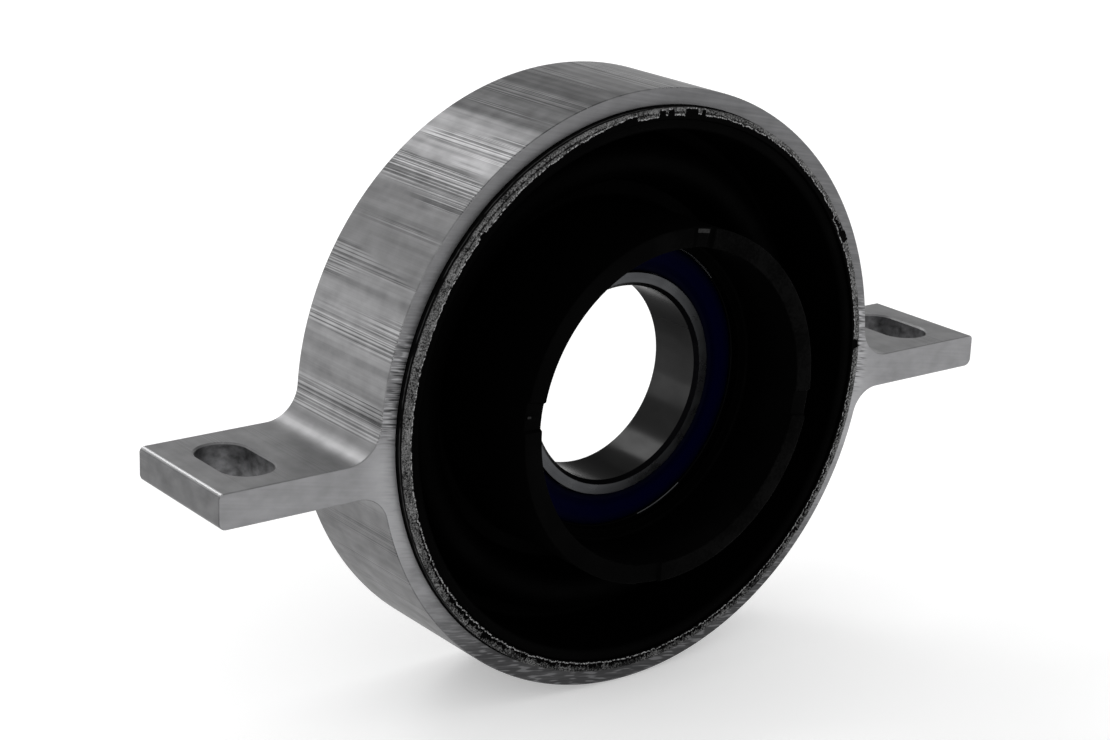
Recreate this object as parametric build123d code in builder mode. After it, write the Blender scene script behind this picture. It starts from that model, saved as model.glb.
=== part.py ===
from build123d import *
import math
import os

# Driveshaft centre bearing: a sealed ball bearing in a rubber cushion, pressed into an extruded bracket.
# Millimetres. The ring's axis is Y and the front faces -Y. The ears lie along X and +Z is up.
# The origin is on the bearing's axis, halfway along the housing.

# Housing, one sawn slice of an aluminium extrusion
ring_wall = 3.0
ring_width = 25.5
ear_span = 164.0
ear_thickness = 6.0
ear_drop = 2.1
ear_top_fillet = 6.0
ear_bottom_fillet = 5.5
ear_corner = 1.4
slot_inset = 10.0
slot_width = 9.0
slot_length = 16.5
mouth_chamfer = 0.2

# Outer sleeve, pressed into the housing
sleeve_wall = 1.7
sleeve_stand_out = 1.6
sleeve_back_inset = 0.1
sleeve_lead_in = 0.6

# Rubber cushion
fold_room = 14.8
rim_layer = 2.3
rim_step = 0.3
rim_set_back = 1.0
rim_round = 1.0
web_thickness = 2.8
web_bend = 0.5
web_lean = 12.0
crest_inset = 7.1
crest_flat = 0.2
crest_set_back = 7.2
valley_depth = 7.8
groove_depth = 8.2
hub_wall = 2.5
hub_round = 0.9
hub_heel = 2.2
collar_wall = 3.4
collar_stand_out = 9.05
collar_round = 0.2
lip_cover = 0.7
lip_bare = 0.1
root_round = 1.0

# Bearing carrier, the steel cup in the rubber's hub
carrier_wall = 1.2
carrier_lip_reach = 1.6
carrier_tail = 1.8
carrier_bend = 0.5

# Ball bearing
bore_d = 35.0
race_od = 55.0
bearing_set_back = 6.15
bore_chamfer = 0.7
race_corner = 0.6
ball_share = 0.6
ball_count = 14
ball_play = 0.04
groove_openness = 1.06
shoulder_share = 0.2
land_step = 0.63
seat_wall = 1.8
seal_seat_width = 1.7
seal_bead = 0.25
bead_width = 0.5
bead_set_back = 0.9

# Seals
seal_thickness = 1.2
seal_recess = 0.2
seal_lip_play = 0.07
seal_dish = 0.35
seal_edge = 1.1

# Ribbon cage and its rivets
cage_thickness = 0.7
cage_width = 2.2
pocket_play = 0.1
seal_room = 0.8
rivet_share = 0.36
rivet_head_share = 0.64
rivet_head = 0.35
rivet_play = 0.03

# The bearing's inner sizes follow from its bore and its outside
section = (race_od - bore_d) / 2
pitch_r = (bore_d + race_od) / 4
ball_d = ball_share * section
ball_r = ball_d / 2
pocket_r = ball_r + pocket_play
dome_r = pocket_r + cage_thickness
race_width = 2 * (dome_r + seal_room + seal_thickness + seal_recess)
race_r = race_od / 2
groove_r = ball_r * groove_openness
shoulder_height = shoulder_share * ball_d
ball_step = 360 / ball_count
dome_gap = 2 * pitch_r * math.sin(math.radians(ball_step / 2)) - 2 * dome_r
rivet_d = rivet_share * dome_gap
rivet_head_d = rivet_head_share * dome_gap

# The radii grow outwards from the bearing to the housing
carrier_r = race_r + carrier_wall
carrier_lip_r = race_r - carrier_lip_reach
lip_cover_r = carrier_lip_r + lip_bare
hub_r = carrier_r + hub_wall
rim_r = hub_r + fold_room
crest_r = rim_r - crest_inset
sleeve_inner_r = rim_r + rim_layer
ring_bore_r = sleeve_inner_r + sleeve_wall
ring_r = ring_bore_r + ring_wall
ear_middle_z = -ear_drop - ear_thickness / 2
slot_x = ear_span / 2 - slot_inset

# Places along the axis, from the housing's front face
front_y = -ring_width / 2
sleeve_front_y = front_y - sleeve_stand_out
sleeve_back_y = ring_width / 2 - sleeve_back_inset
rim_front_y = sleeve_front_y + rim_step
rim_back_y = sleeve_back_y - rim_set_back
collar_front_y = front_y - collar_stand_out
bearing_front_y = front_y + bearing_set_back
bearing_back_y = bearing_front_y + race_width
bearing_mid_y = (bearing_front_y + bearing_back_y) / 2
carrier_front_y = bearing_front_y - carrier_wall
carrier_back_y = bearing_back_y + carrier_tail
bead_front_y = bearing_front_y + bead_set_back
bead_rear_y = bearing_back_y - bead_set_back

os.makedirs("parts", exist_ok=True)


def save(part, name):
    """Labels one finished piece and writes it under its own name."""
    part.label = name
    export_step(part, f"parts/{name}.step")


# Housing
with BuildPart() as housing:
    with BuildSketch(Plane.XZ.offset(ring_width / 2)) as profile:
        Circle(ring_r)
        with Locations((0, ear_middle_z)):
            Rectangle(ear_span, ear_thickness)
        tips = [v for v in profile.vertices() if abs(v.X) > ear_span / 2 - 0.1]
        fillet(tips, ear_corner)
        roots = [v for v in profile.vertices() if abs(math.hypot(v.X, v.Y) - ring_r) < 0.01]
        fillet([v for v in roots if v.Y > ear_middle_z], ear_top_fillet)
        roots = [v for v in profile.vertices() if abs(v.Y - ear_middle_z + ear_thickness / 2) < 0.01]
        fillet([v for v in roots if abs(v.X) < ring_r], ear_bottom_fillet)
        Circle(ring_bore_r, mode=Mode.SUBTRACT)
    extrude(amount=-ring_width)
    mouths = housing.edges().filter_by(GeomType.CIRCLE)
    chamfer([e for e in mouths if abs(e.radius - ring_bore_r) < 0.01], mouth_chamfer)
    with BuildSketch(Plane.XY.offset(ear_middle_z)):
        with Locations((-slot_x, 0), (slot_x, 0)):
            SlotOverall(slot_length, slot_width, rotation=90)
    extrude(amount=ear_thickness, both=True, mode=Mode.SUBTRACT)
save(housing.part, "housing")

# Outer sleeve
with BuildPart() as outer_sleeve:
    with BuildSketch(Plane.XY) as sleeve_section:
        with Locations((sleeve_inner_r, sleeve_front_y)):
            Rectangle(sleeve_wall, sleeve_back_y - sleeve_front_y, align=(Align.MIN, Align.MIN))
        outer_back = sleeve_section.vertices().group_by(Axis.Y)[-1].sort_by(Axis.X)[-1]
        chamfer(outer_back, sleeve_lead_in)
    revolve(axis=Axis.Y)
save(outer_sleeve.part, "outer_sleeve")

# Bearing carrier: a tube with its front edge turned in. The bearing is pressed in from behind.
carrier_length = carrier_back_y - carrier_front_y
seat_length = carrier_back_y - bearing_front_y

with BuildSketch(Plane.XY) as carrier_outside:
    with Locations((0, carrier_front_y)):
        Rectangle(carrier_r, carrier_length, align=(Align.MIN, Align.MIN))
    outer_bend = carrier_outside.vertices().group_by(Axis.Y)[0].sort_by(Axis.X)[-1]
    fillet(outer_bend, carrier_bend + carrier_wall)

with BuildSketch(Plane.XY) as carrier_seat:
    with Locations((0, bearing_front_y)):
        Rectangle(race_r, seat_length, align=(Align.MIN, Align.MIN))
    inner_bend = carrier_seat.vertices().group_by(Axis.Y)[0].sort_by(Axis.X)[-1]
    fillet(inner_bend, carrier_bend)

with BuildPart() as bearing_carrier:
    with BuildSketch(Plane.XY):
        add(carrier_outside.sketch)
        add(carrier_seat.sketch, mode=Mode.SUBTRACT)
        with Locations((0, carrier_front_y)):
            Rectangle(carrier_lip_r, carrier_length, align=(Align.MIN, Align.MIN), mode=Mode.SUBTRACT)
    revolve(axis=Axis.Y)
save(bearing_carrier.part, "bearing_carrier")

# Rubber cushion, one moulding: the layer in the sleeve, the folded web, the hub and its collar
lean = math.tan(math.radians(web_lean))
bend_r = web_bend + web_thickness / 2
bend_reach = bend_r * math.tan(math.radians((90 - web_lean) / 2))
crest_y = front_y + crest_set_back + web_thickness / 2
valley_y = crest_y + valley_depth
groove_y = crest_y + groove_depth
hub_back_y = groove_y + web_thickness / 2 + hub_heel
crest_outer_r = crest_r + crest_flat / 2 + bend_reach
crest_inner_r = crest_r - crest_flat / 2 - bend_reach

with BuildPart() as rubber_cushion:
    with BuildSketch(Plane.XY) as rubber_section:
        with BuildSketch(Plane.XY) as rim_section:
            with Locations((rim_r, rim_front_y)):
                Rectangle(rim_layer, rim_back_y - rim_front_y, align=(Align.MIN, Align.MIN))
            fillet(rim_section.vertices().group_by(Axis.X)[0], rim_round)
        with BuildLine():
            FilletPolyline(
                (rim_r + rim_layer / 2, valley_y),
                (crest_outer_r + valley_depth * lean, valley_y),
                (crest_outer_r, crest_y),
                (crest_inner_r, crest_y),
                (crest_inner_r - groove_depth * lean, groove_y),
                (hub_r - hub_wall / 2, groove_y),
                radius=bend_r,
            )
        trace(line_width=web_thickness)
        with BuildSketch(Plane.XY) as hub_section:
            with Locations((carrier_r, carrier_front_y)):
                Rectangle(hub_wall, hub_back_y - carrier_front_y, align=(Align.MIN, Align.MIN))
            with Locations((hub_r - collar_wall, collar_front_y)):
                Rectangle(collar_wall, carrier_front_y - collar_front_y, align=(Align.MIN, Align.MIN))
            fillet(hub_section.vertices().group_by(Axis.Y)[0], collar_round)
            fillet(hub_section.vertices().group_by(Axis.Y)[-1].sort_by(Axis.X)[-1], hub_round)
        with Locations((lip_cover_r, carrier_front_y - lip_cover)):
            cover_width = hub_r - hub_wall / 2 - lip_cover_r
            cover_height = lip_cover + carrier_bend + carrier_wall
            Rectangle(cover_width, cover_height, align=(Align.MIN, Align.MIN))
        add(carrier_outside.sketch, mode=Mode.SUBTRACT)
        corners = rubber_section.vertices()
        at_rim = [v for v in corners if abs(v.X - rim_r) < 0.01 and abs(v.Y - valley_y) < web_thickness]
        at_hub = [v for v in corners if abs(v.X - hub_r) < 0.01 and abs(v.Y - groove_y) < web_thickness]
        fillet(at_rim + at_hub, root_round)
    revolve(axis=Axis.Y)
save(rubber_cushion.part, "rubber_cushion")

# Bearing races. The grooves are a little wider than the balls and clear them by the play.
inner_groove_r = pitch_r - ball_r - ball_play
outer_groove_r = pitch_r + ball_r + ball_play
inner_shoulder_r = inner_groove_r + shoulder_height
outer_shoulder_r = outer_groove_r - shoulder_height
seal_land_r = inner_shoulder_r - land_step
seal_seat_r = race_r - seat_wall
seal_groove_r = seal_seat_r + seal_bead
shoulder_width = race_width - 2 * seal_seat_width

with BuildPart() as inner_race:
    with BuildSketch(Plane.XY) as inner_section:
        with Locations((bore_d / 2, bearing_mid_y)):
            Rectangle(seal_land_r - bore_d / 2, race_width, align=(Align.MIN, Align.CENTER))
            Rectangle(inner_shoulder_r - bore_d / 2, shoulder_width, align=(Align.MIN, Align.CENTER))
        chamfer(inner_section.vertices().group_by(Axis.X)[0], bore_chamfer)
        with Locations((inner_groove_r + groove_r, bearing_mid_y)):
            Circle(groove_r, mode=Mode.SUBTRACT)
    revolve(axis=Axis.Y)
save(inner_race.part, "inner_race")

with BuildPart() as outer_race:
    with BuildSketch(Plane.XY) as outer_section:
        with Locations((race_r, bearing_mid_y)):
            Rectangle(race_r - seal_seat_r, race_width, align=(Align.MAX, Align.CENTER))
            Rectangle(race_r - outer_shoulder_r, shoulder_width, align=(Align.MAX, Align.CENTER))
        fillet(outer_section.vertices().group_by(Axis.X)[-1], race_corner)
        with Locations((outer_groove_r - groove_r, bearing_mid_y)):
            Circle(groove_r, mode=Mode.SUBTRACT)
        with Locations((seal_seat_r, bead_front_y), (seal_seat_r, bead_rear_y)):
            Rectangle(2 * seal_bead, bead_width, mode=Mode.SUBTRACT)
    revolve(axis=Axis.Y)
save(outer_race.part, "outer_race")

# Seals: a moulded disc. Its bead snaps into the outer race and its thin lip runs on the inner race.
lip_r = seal_land_r + seal_lip_play
seal_face_y = bearing_front_y + seal_recess
seal_back_y = seal_face_y + seal_thickness
dish_y = seal_face_y + seal_dish

with BuildPart() as seal_front:
    with BuildSketch(Plane.XY) as seal_section:
        with BuildLine():
            Polyline(
                (lip_r, dish_y),
                (lip_r + seal_edge, seal_face_y),
                (lip_r + seal_edge + seal_dish, seal_face_y),
                (lip_r + seal_edge + 2 * seal_dish, dish_y),
                (seal_seat_r - seal_edge - seal_dish, dish_y),
                (seal_seat_r - seal_edge, seal_face_y),
                (seal_seat_r, seal_face_y),
                (seal_seat_r, bead_front_y - bead_width / 2),
                (seal_groove_r, bead_front_y - bead_width / 2),
                (seal_groove_r, bead_front_y + bead_width / 2),
                (seal_seat_r, bead_front_y + bead_width / 2),
                (seal_seat_r, seal_back_y),
                (lip_r + seal_edge, seal_back_y),
                (lip_r, dish_y + seal_dish),
                close=True,
            )
        make_face()
    revolve(axis=Axis.Y)
save(seal_front.part, "seal_front")

bearing_middle = Plane.XZ.offset(-bearing_mid_y)
seal_rear = mirror(seal_front.part, about=bearing_middle)
save(seal_rear, "seal_rear")


def on_pitch_circle(turn):
    """The place on the ball circle at this many steps from the top."""
    angle = math.radians(90 - turn * ball_step)
    return Vector(pitch_r * math.cos(angle), bearing_mid_y, pitch_r * math.sin(angle))


ball_places = [on_pitch_circle(step) for step in range(ball_count)]
rivet_places = [on_pitch_circle(step + 0.5) for step in range(ball_count)]

# Cage: two pressed ribbons, flat between the balls and domed over them. One cell serves one ball.
ribbon_r = pitch_r + cage_width / 2
cell_half_width = ribbon_r * math.tan(math.radians(ball_step / 2))

with BuildPart() as dome:
    with BuildSketch(bearing_middle) as ribbon:
        Circle(ribbon_r)
        Circle(pitch_r - cage_width / 2, mode=Mode.SUBTRACT)
    extrude(amount=dome_r)
    with Locations(ball_places[0]):
        Sphere(dome_r, mode=Mode.INTERSECT)

with BuildPart() as cage_cell:
    with BuildSketch(bearing_middle):
        add(ribbon.sketch_local)
        with BuildSketch(mode=Mode.INTERSECT):
            Polygon((0, 0), (cell_half_width, ribbon_r), (-cell_half_width, ribbon_r), align=None)
    extrude(amount=cage_thickness)
    add(dome.part)
    with Locations(ball_places[0]):
        Sphere(pocket_r, mode=Mode.SUBTRACT)

with BuildPart() as cage_front:
    for step in range(ball_count):
        add(cage_cell.part.rotate(Axis.Y, step * ball_step))
    with BuildSketch(bearing_middle):
        with Locations(*[bearing_middle.to_local_coords(place) for place in rivet_places]):
            Circle(rivet_d / 2 + rivet_play)
    extrude(amount=cage_thickness, mode=Mode.SUBTRACT)
save(cage_front.part, "cage_front")

cage_rear = mirror(cage_front.part, about=bearing_middle)
save(cage_rear, "cage_rear")

# Rivets through both ribbons, one between each two balls
for number, place in enumerate(rivet_places, start=1):
    with BuildPart() as cage_rivet:
        with BuildSketch(Plane(place, z_dir=(0, 1, 0))):
            Circle(rivet_d / 2)
        extrude(amount=cage_thickness, both=True)
        for side in (-1, 1):
            head_place = place + Vector(0, side * cage_thickness, 0)
            with BuildSketch(Plane(head_place, z_dir=(0, side, 0))):
                Circle(rivet_head_d / 2)
            extrude(amount=rivet_head)
    save(cage_rivet.part, f"cage_rivet_{number:02d}")

# Balls
for number, place in enumerate(ball_places, start=1):
    with BuildPart() as ball:
        with Locations(place):
            Sphere(ball_r)
    save(ball.part, f"ball_{number:02d}")
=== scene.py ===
import math

import bmesh
import bpy
from mathutils import Matrix, Vector, noise


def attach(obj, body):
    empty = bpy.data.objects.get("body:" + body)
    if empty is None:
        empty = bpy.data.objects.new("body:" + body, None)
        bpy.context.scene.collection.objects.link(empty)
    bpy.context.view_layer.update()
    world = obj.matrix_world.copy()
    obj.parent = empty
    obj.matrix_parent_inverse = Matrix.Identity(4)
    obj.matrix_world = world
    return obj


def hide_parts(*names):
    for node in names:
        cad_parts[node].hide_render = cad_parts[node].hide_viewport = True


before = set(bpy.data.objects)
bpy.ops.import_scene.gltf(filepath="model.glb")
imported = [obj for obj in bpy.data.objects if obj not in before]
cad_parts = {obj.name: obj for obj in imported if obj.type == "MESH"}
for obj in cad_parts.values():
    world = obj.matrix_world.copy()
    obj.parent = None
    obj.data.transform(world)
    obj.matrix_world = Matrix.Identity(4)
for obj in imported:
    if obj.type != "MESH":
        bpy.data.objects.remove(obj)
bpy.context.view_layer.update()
scene = bpy.context.scene

# Housing. The real piece is one sawn slice of an aluminium extrusion, a ring with two flat ears.
# The skin keeps the die's lines along the axis, and the two cut faces keep the scores of the saw.
# A slot is milled through each ear, with a cutter that left its wall blotched.

# Sizes are in mm, and MM turns them to metres. Only the camera's distance and the lamps are given in metres.
MM = 0.001
ring_r = 53.0
ring_bore_r = 50.0
ring_front_y = -12.75
ring_back_y = 12.75
ear_end_x = 82.0
ear_top_z = -2.1
ear_under_z = -8.1
ear_corner = 1.4
ear_top_corner = 0.9
ear_top_fillet = 6.0
ear_under_fillet = 5.5
slot_middle_x = 72.0
slot_half_width = 4.5
slot_half_length = 8.25
saw_break = 0.14
bore_break = 0.2
slot_break = 0.3
ring_steps = 256
sharp_from = math.radians(32)


def linear(hex_colour):
    """An sRGB hex colour as the linear RGBA that a shader takes."""
    parts = [int(hex_colour[i : i + 2], 16) / 255 for i in (0, 2, 4)]
    return (*[p / 12.92 if p <= 0.04045 else ((p + 0.055) / 1.055) ** 2.4 for p in parts], 1)


def per_mm(x, y, z):
    """The mapping scale that gives a pattern a grain of x, y and z mm."""
    return (1000 / x, 1000 / y, 1000 / z)


def add(tree, kind, inputs=None, **settings):
    """One node with its settings. An input is a value, or the socket that feeds it, or a node, whose first
    output feeds it."""
    made = tree.nodes.new(kind)
    for name, value in settings.items():
        setattr(made, name, value)
    for name, value in (inputs or {}).items():
        if isinstance(value, bpy.types.Node):
            value = value.outputs[0]
        if isinstance(value, bpy.types.NodeSocket):
            tree.links.new(value, made.inputs[name])
        else:
            made.inputs[name].default_value = value
    return made


def start_finish(name):
    """A new material, its empty tree, and places on the part in metres."""
    material = bpy.data.materials.new(name)
    material.use_nodes = True
    tree = material.node_tree
    tree.nodes.clear()
    return material, tree, add(tree, "ShaderNodeTexCoord").outputs["Object"]


def apart(tree, one, other):
    """How far apart two values are."""
    difference = add(tree, "ShaderNodeMath", {0: one, 1: other}, operation="SUBTRACT")
    return add(tree, "ShaderNodeMath", {0: difference}, operation="ABSOLUTE")


def off_axis(tree, place):
    """How far a place lies from the bearing's axis, in metres."""
    level = add(tree, "ShaderNodeVectorMath", {0: place, 1: (1, 0, 1)}, operation="MULTIPLY")
    return add(tree, "ShaderNodeVectorMath", {0: level}, operation="LENGTH").outputs["Value"]


# Mill-finish extruded aluminium: smooth grey metal with soft smudges 3 mm across, and groups of sharp lines
# that the die drew along the ring. The real lines are 0.1 mm apart and too fine to show, so these are 0.3 mm
# apart. A painted highlight runs along the root of each ear and along the top corner of its end, and a strip
# of the crown is painted darker as shade. Painted shade darkens the lower side and the ends of the ears.
# Aluminium is metallic 1.
unshaded_tone = -0.25
crown_shade_tone = 0.32
extruded_aluminium, tree, place = start_finish("extruded_aluminium_mill_finish")
die_at = add(tree, "ShaderNodeMapping", {"Vector": place, "Scale": per_mm(0.27, 90, 0.27)})
die_lines = add(tree, "ShaderNodeTexNoise", {"Vector": die_at, "Scale": 1.0, "Detail": 1.0})
die_lines = add(
    tree, "ShaderNodeMapRange", {"Value": die_lines, "From Min": 0.42, "From Max": 0.58, "To Min": -1.0}
)
group_at = add(tree, "ShaderNodeMapping", {"Vector": place, "Scale": per_mm(6, 60, 6), "Location": (3, 1, 5)})
groups = add(tree, "ShaderNodeTexNoise", {"Vector": group_at, "Scale": 1.0, "Detail": 2.0})
groups = add(
    tree, "ShaderNodeMapRange", {"Value": groups, "From Min": 0.51, "From Max": 0.57, "To Min": 0.06}
)
lined = add(tree, "ShaderNodeMath", {0: die_lines, 1: groups}, operation="MULTIPLY")
band_at = add(
    tree, "ShaderNodeMapping", {"Vector": place, "Scale": per_mm(2.2, 80, 2.2), "Location": (8, 2, 1)}
)
bands = add(tree, "ShaderNodeTexNoise", {"Vector": band_at, "Scale": 1.0, "Detail": 2.0})
bands = add(tree, "ShaderNodeMapRange", {"Value": bands, "From Min": 0.42, "From Max": 0.58, "To Min": -1.0})
drawn = add(tree, "ShaderNodeMath", {0: lined, 1: 3.4, 2: bands}, operation="MULTIPLY_ADD")
at_x, at_y, at_z = add(tree, "ShaderNodeSeparateXYZ", {0: place}).outputs
section_place = add(tree, "ShaderNodeVectorMath", {0: place, 1: (1, 0, 1)}, operation="MULTIPLY")
section_place = add(tree, "ShaderNodeVectorMath", {0: section_place}, operation="ABSOLUTE")
sideways = add(tree, "ShaderNodeSeparateXYZ", {0: section_place}).outputs["X"]
off_ear = add(
    tree,
    "ShaderNodeMapRange",
    {"Value": sideways, "From Min": 53.5 * MM, "From Max": 57 * MM, "To Min": 0.09, "To Max": 0.02},
)
above = add(tree, "ShaderNodeMapRange", {"Value": at_z, "From Min": -12 * MM, "From Max": 0, "To Min": 0.35})
drawn = add(tree, "ShaderNodeMath", {0: drawn, 1: off_ear}, operation="MULTIPLY")
drawn = add(tree, "ShaderNodeMath", {0: drawn, 1: above}, operation="MULTIPLY")
smudge_at = add(tree, "ShaderNodeMapping", {"Vector": place, "Scale": per_mm(3, 4, 3), "Location": (2, 8, 4)})
smudges = add(tree, "ShaderNodeTexNoise", {"Vector": smudge_at, "Scale": 1.0, "Detail": 3.0})
tone = add(tree, "ShaderNodeMath", {0: smudges, 1: 0.45, 2: drawn}, operation="MULTIPLY_ADD")
# Each painted highlight line runs along Y: its distance from the middle plane and from the axis's level, how
# far it reaches, and how much brighter it is there.
for line_x, line_z, reach, brighter in ((56, 1.4, 3.5, 0.16), (81.52, 2.2, 0.4, 1.4)):
    line = (line_x * MM, 0, line_z * MM)
    off_line = add(
        tree, "ShaderNodeVectorMath", {0: section_place, 1: line}, operation="DISTANCE"
    ).outputs["Value"]
    painted_highlight = add(
        tree,
        "ShaderNodeMapRange",
        {"Value": off_line, "From Min": reach * MM, "From Max": 0.3 * reach * MM, "To Max": brighter},
    )
    tone = add(tree, "ShaderNodeMath", {0: tone, 1: painted_highlight}, operation="ADD")
# A strip of the crown is painted darker as shade.
strip_start = add(
    tree,
    "ShaderNodeMapRange",
    {"Value": at_x, "From Min": -24.5 * MM, "From Max": -22.8 * MM, "To Max": crown_shade_tone},
)
strip_end = add(
    tree,
    "ShaderNodeMapRange",
    {"Value": at_x, "From Min": -9 * MM, "From Max": 1 * MM, "To Min": crown_shade_tone, "To Max": 0.0},
)
strip = add(tree, "ShaderNodeMath", {0: strip_start, 1: strip_end}, operation="MINIMUM")
on_crown = add(tree, "ShaderNodeMapRange", {"Value": at_z, "From Min": 20 * MM, "From Max": 30 * MM})
strip = add(tree, "ShaderNodeMath", {0: strip, 1: on_crown}, operation="MULTIPLY")
# Painted shade: the lower side and the ends of the ears are darker, and the unshaded tone raises the rest.
underside_shade = add(
    tree,
    "ShaderNodeMapRange",
    {"Value": at_z, "From Min": -9 * MM, "From Max": -16 * MM, "To Min": unshaded_tone, "To Max": -0.05},
)
ends = add(
    tree,
    "ShaderNodeMapRange",
    {"Value": sideways, "From Min": 81.6 * MM, "From Max": 81.9 * MM, "To Min": unshaded_tone, "To Max": 0.02},
)
painted_shade = add(tree, "ShaderNodeMath", {0: underside_shade, 1: ends}, operation="MAXIMUM")
painted_shade = add(tree, "ShaderNodeMath", {0: painted_shade, 1: strip}, operation="ADD")
tone = add(tree, "ShaderNodeMath", {0: tone, 1: painted_shade}, operation="SUBTRACT")
skin_grey = add(
    tree, "ShaderNodeMix", {0: tone, 6: linear("4c4c4d"), 7: linear("a2a2a3")}, data_type="RGBA"
).outputs[2]
skin_gloss = add(
    tree,
    "ShaderNodeMapRange",
    {"Value": tone, "From Min": 0.2, "From Max": 1.2, "To Min": 0.49, "To Max": 0.36},
)
skin_bump = add(tree, "ShaderNodeBump", {"Height": lined, "Distance": 0.02 * MM, "Strength": 0.35})
skin = add(
    tree,
    "ShaderNodeBsdfPrincipled",
    {"Base Color": skin_grey, "Metallic": 1.0, "Roughness": skin_gloss, "Normal": skin_bump},
)
add(tree, "ShaderNodeOutputMaterial", {"Surface": skin})

# Sawn aluminium: an even satin grey with long shallow scores, about 0.4 mm apart and 11 degrees off level.
# Short scores, dark and bright, break the edge of the bore at both sides, higher on the left, and cross the
# foot. Painted shade darkens the foot, where the face mirrors the shadowed floor, and the face is darker
# towards the crown, more at the right; both have ragged edges. The roots of the ears are pale.
saw_lean = -0.2
patch_shift = 12
root_pale = 0.3
sawn_aluminium, tree, place = start_finish("sawn_aluminium")
saw_place = add(tree, "ShaderNodeMapping", {"Vector": place, "Rotation": (0, saw_lean, 0)})
score_at = add(tree, "ShaderNodeMapping", {"Vector": saw_place, "Scale": per_mm(14, 4, 0.4)})
scores = add(tree, "ShaderNodeTexNoise", {"Vector": score_at, "Scale": 1.0, "Detail": 3.0})
mottle_at = add(
    tree, "ShaderNodeMapping", {"Vector": place, "Scale": per_mm(4, 4, 2.5), "Location": (1, 1, 5)}
)
mottle = add(tree, "ShaderNodeTexNoise", {"Vector": mottle_at, "Scale": 1.0, "Detail": 5.0})
tone = add(tree, "ShaderNodeMath", {0: scores, 1: 0.35, 2: -0.12}, operation="MULTIPLY_ADD")
tone = add(tree, "ShaderNodeMath", {0: mottle, 1: 0.9, 2: tone}, operation="MULTIPLY_ADD")
unshaded_face = add(
    tree, "ShaderNodeMix", {0: tone, 6: linear("787879"), 7: linear("a0a0a2")}, data_type="RGBA"
).outputs[2]
at_x, at_y, at_z = add(tree, "ShaderNodeSeparateXYZ", {0: place}).outputs
# Painted shade at the foot, and a darker crown, each with a ragged edge from the patch noise.
patch_at = add(
    tree, "ShaderNodeMapping", {"Vector": place, "Scale": per_mm(16, 9, 6), "Rotation": (0, 0.5, 0)}
)
patch_noise = add(tree, "ShaderNodeTexNoise", {"Vector": patch_at, "Scale": 1.0, "Detail": 4.0})
depth = add(tree, "ShaderNodeMath", {0: patch_noise, 1: patch_shift * MM, 2: at_z}, operation="MULTIPLY_ADD")
foot = add(tree, "ShaderNodeMapRange", {"Value": depth, "From Min": -21 * MM, "From Max": -35 * MM})
crown = add(tree, "ShaderNodeMapRange", {"Value": depth, "From Min": 6 * MM, "From Max": 14 * MM})
right_more = add(
    tree,
    "ShaderNodeMapRange",
    {"Value": at_x, "From Min": -20 * MM, "From Max": 10 * MM, "To Min": 0.3, "To Max": 0.5},
)
foot_shade_and_crown = add(tree, "ShaderNodeMath", {0: crown, 1: right_more, 2: foot}, operation="MULTIPLY_ADD")
thin = add(tree, "ShaderNodeMath", {0: scores, 1: -0.7, 2: 1.35}, operation="MULTIPLY_ADD")
foot_shade_and_crown = add(tree, "ShaderNodeMath", {0: foot_shade_and_crown, 1: thin}, operation="MULTIPLY")
darkened_face = add(tree, "ShaderNodeMix", {0: foot_shade_and_crown, 6: unshaded_face, 7: linear("464647")}, data_type="RGBA").outputs[2]
radius = off_axis(tree, place)
near_bore = add(
    tree,
    "ShaderNodeMapRange",
    {"Value": radius, "From Min": 51.2 * MM, "From Max": 54.2 * MM, "To Min": 1.0, "To Max": 0.0},
)
sideways = add(tree, "ShaderNodeMath", {0: at_x}, operation="ABSOLUTE")
at_sides = add(tree, "ShaderNodeMapRange", {"Value": sideways, "From Min": 38 * MM, "From Max": 44 * MM})
score_height = add(
    tree,
    "ShaderNodeMapRange",
    {"Value": at_x, "From Min": -40 * MM, "From Max": 40 * MM, "To Min": 9.5 * MM, "To Max": 1 * MM},
)
off_scores = apart(tree, at_z, score_height)
at_ears = add(
    tree,
    "ShaderNodeMapRange",
    {"Value": off_scores, "From Min": 6 * MM, "From Max": 10 * MM, "To Min": 1.0, "To Max": 0.1},
)
root_top = add(
    tree,
    "ShaderNodeMapRange",
    {"Value": at_z, "From Min": -3 * MM, "From Max": 3 * MM, "To Min": root_pale, "To Max": 0.0},
)
root_low = add(
    tree,
    "ShaderNodeMapRange",
    {"Value": at_z, "From Min": -23 * MM, "From Max": -17 * MM, "To Max": root_pale},
)
root_end = add(
    tree,
    "ShaderNodeMapRange",
    {"Value": sideways, "From Min": 52.5 * MM, "From Max": 57 * MM, "To Min": 1.0, "To Max": 0.0},
)
root = add(tree, "ShaderNodeMath", {0: root_top, 1: root_low}, operation="MINIMUM")
root = add(tree, "ShaderNodeMath", {0: root, 1: root_end}, operation="MULTIPLY")
root = add(tree, "ShaderNodeMath", {0: root, 1: at_sides}, operation="MULTIPLY")
nicked = add(tree, "ShaderNodeMix", {0: root, 6: darkened_face, 7: linear("c4c4c6")}, data_type="RGBA").outputs[2]
at_ears = add(tree, "ShaderNodeMath", {0: at_sides, 1: at_ears}, operation="MULTIPLY")
scored = add(tree, "ShaderNodeMath", {0: near_bore, 1: at_ears}, operation="MULTIPLY")
scored = add(tree, "ShaderNodeMath", {0: foot, 1: 0.25, 2: scored}, operation="MULTIPLY_ADD")
nick_at = add(
    tree, "ShaderNodeMapping", {"Vector": saw_place, "Scale": per_mm(3, 4, 0.34), "Location": (9, 5, 3)}
)
nick_noise = add(tree, "ShaderNodeTexNoise", {"Vector": nick_at, "Scale": 1.0, "Detail": 0.0})
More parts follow.
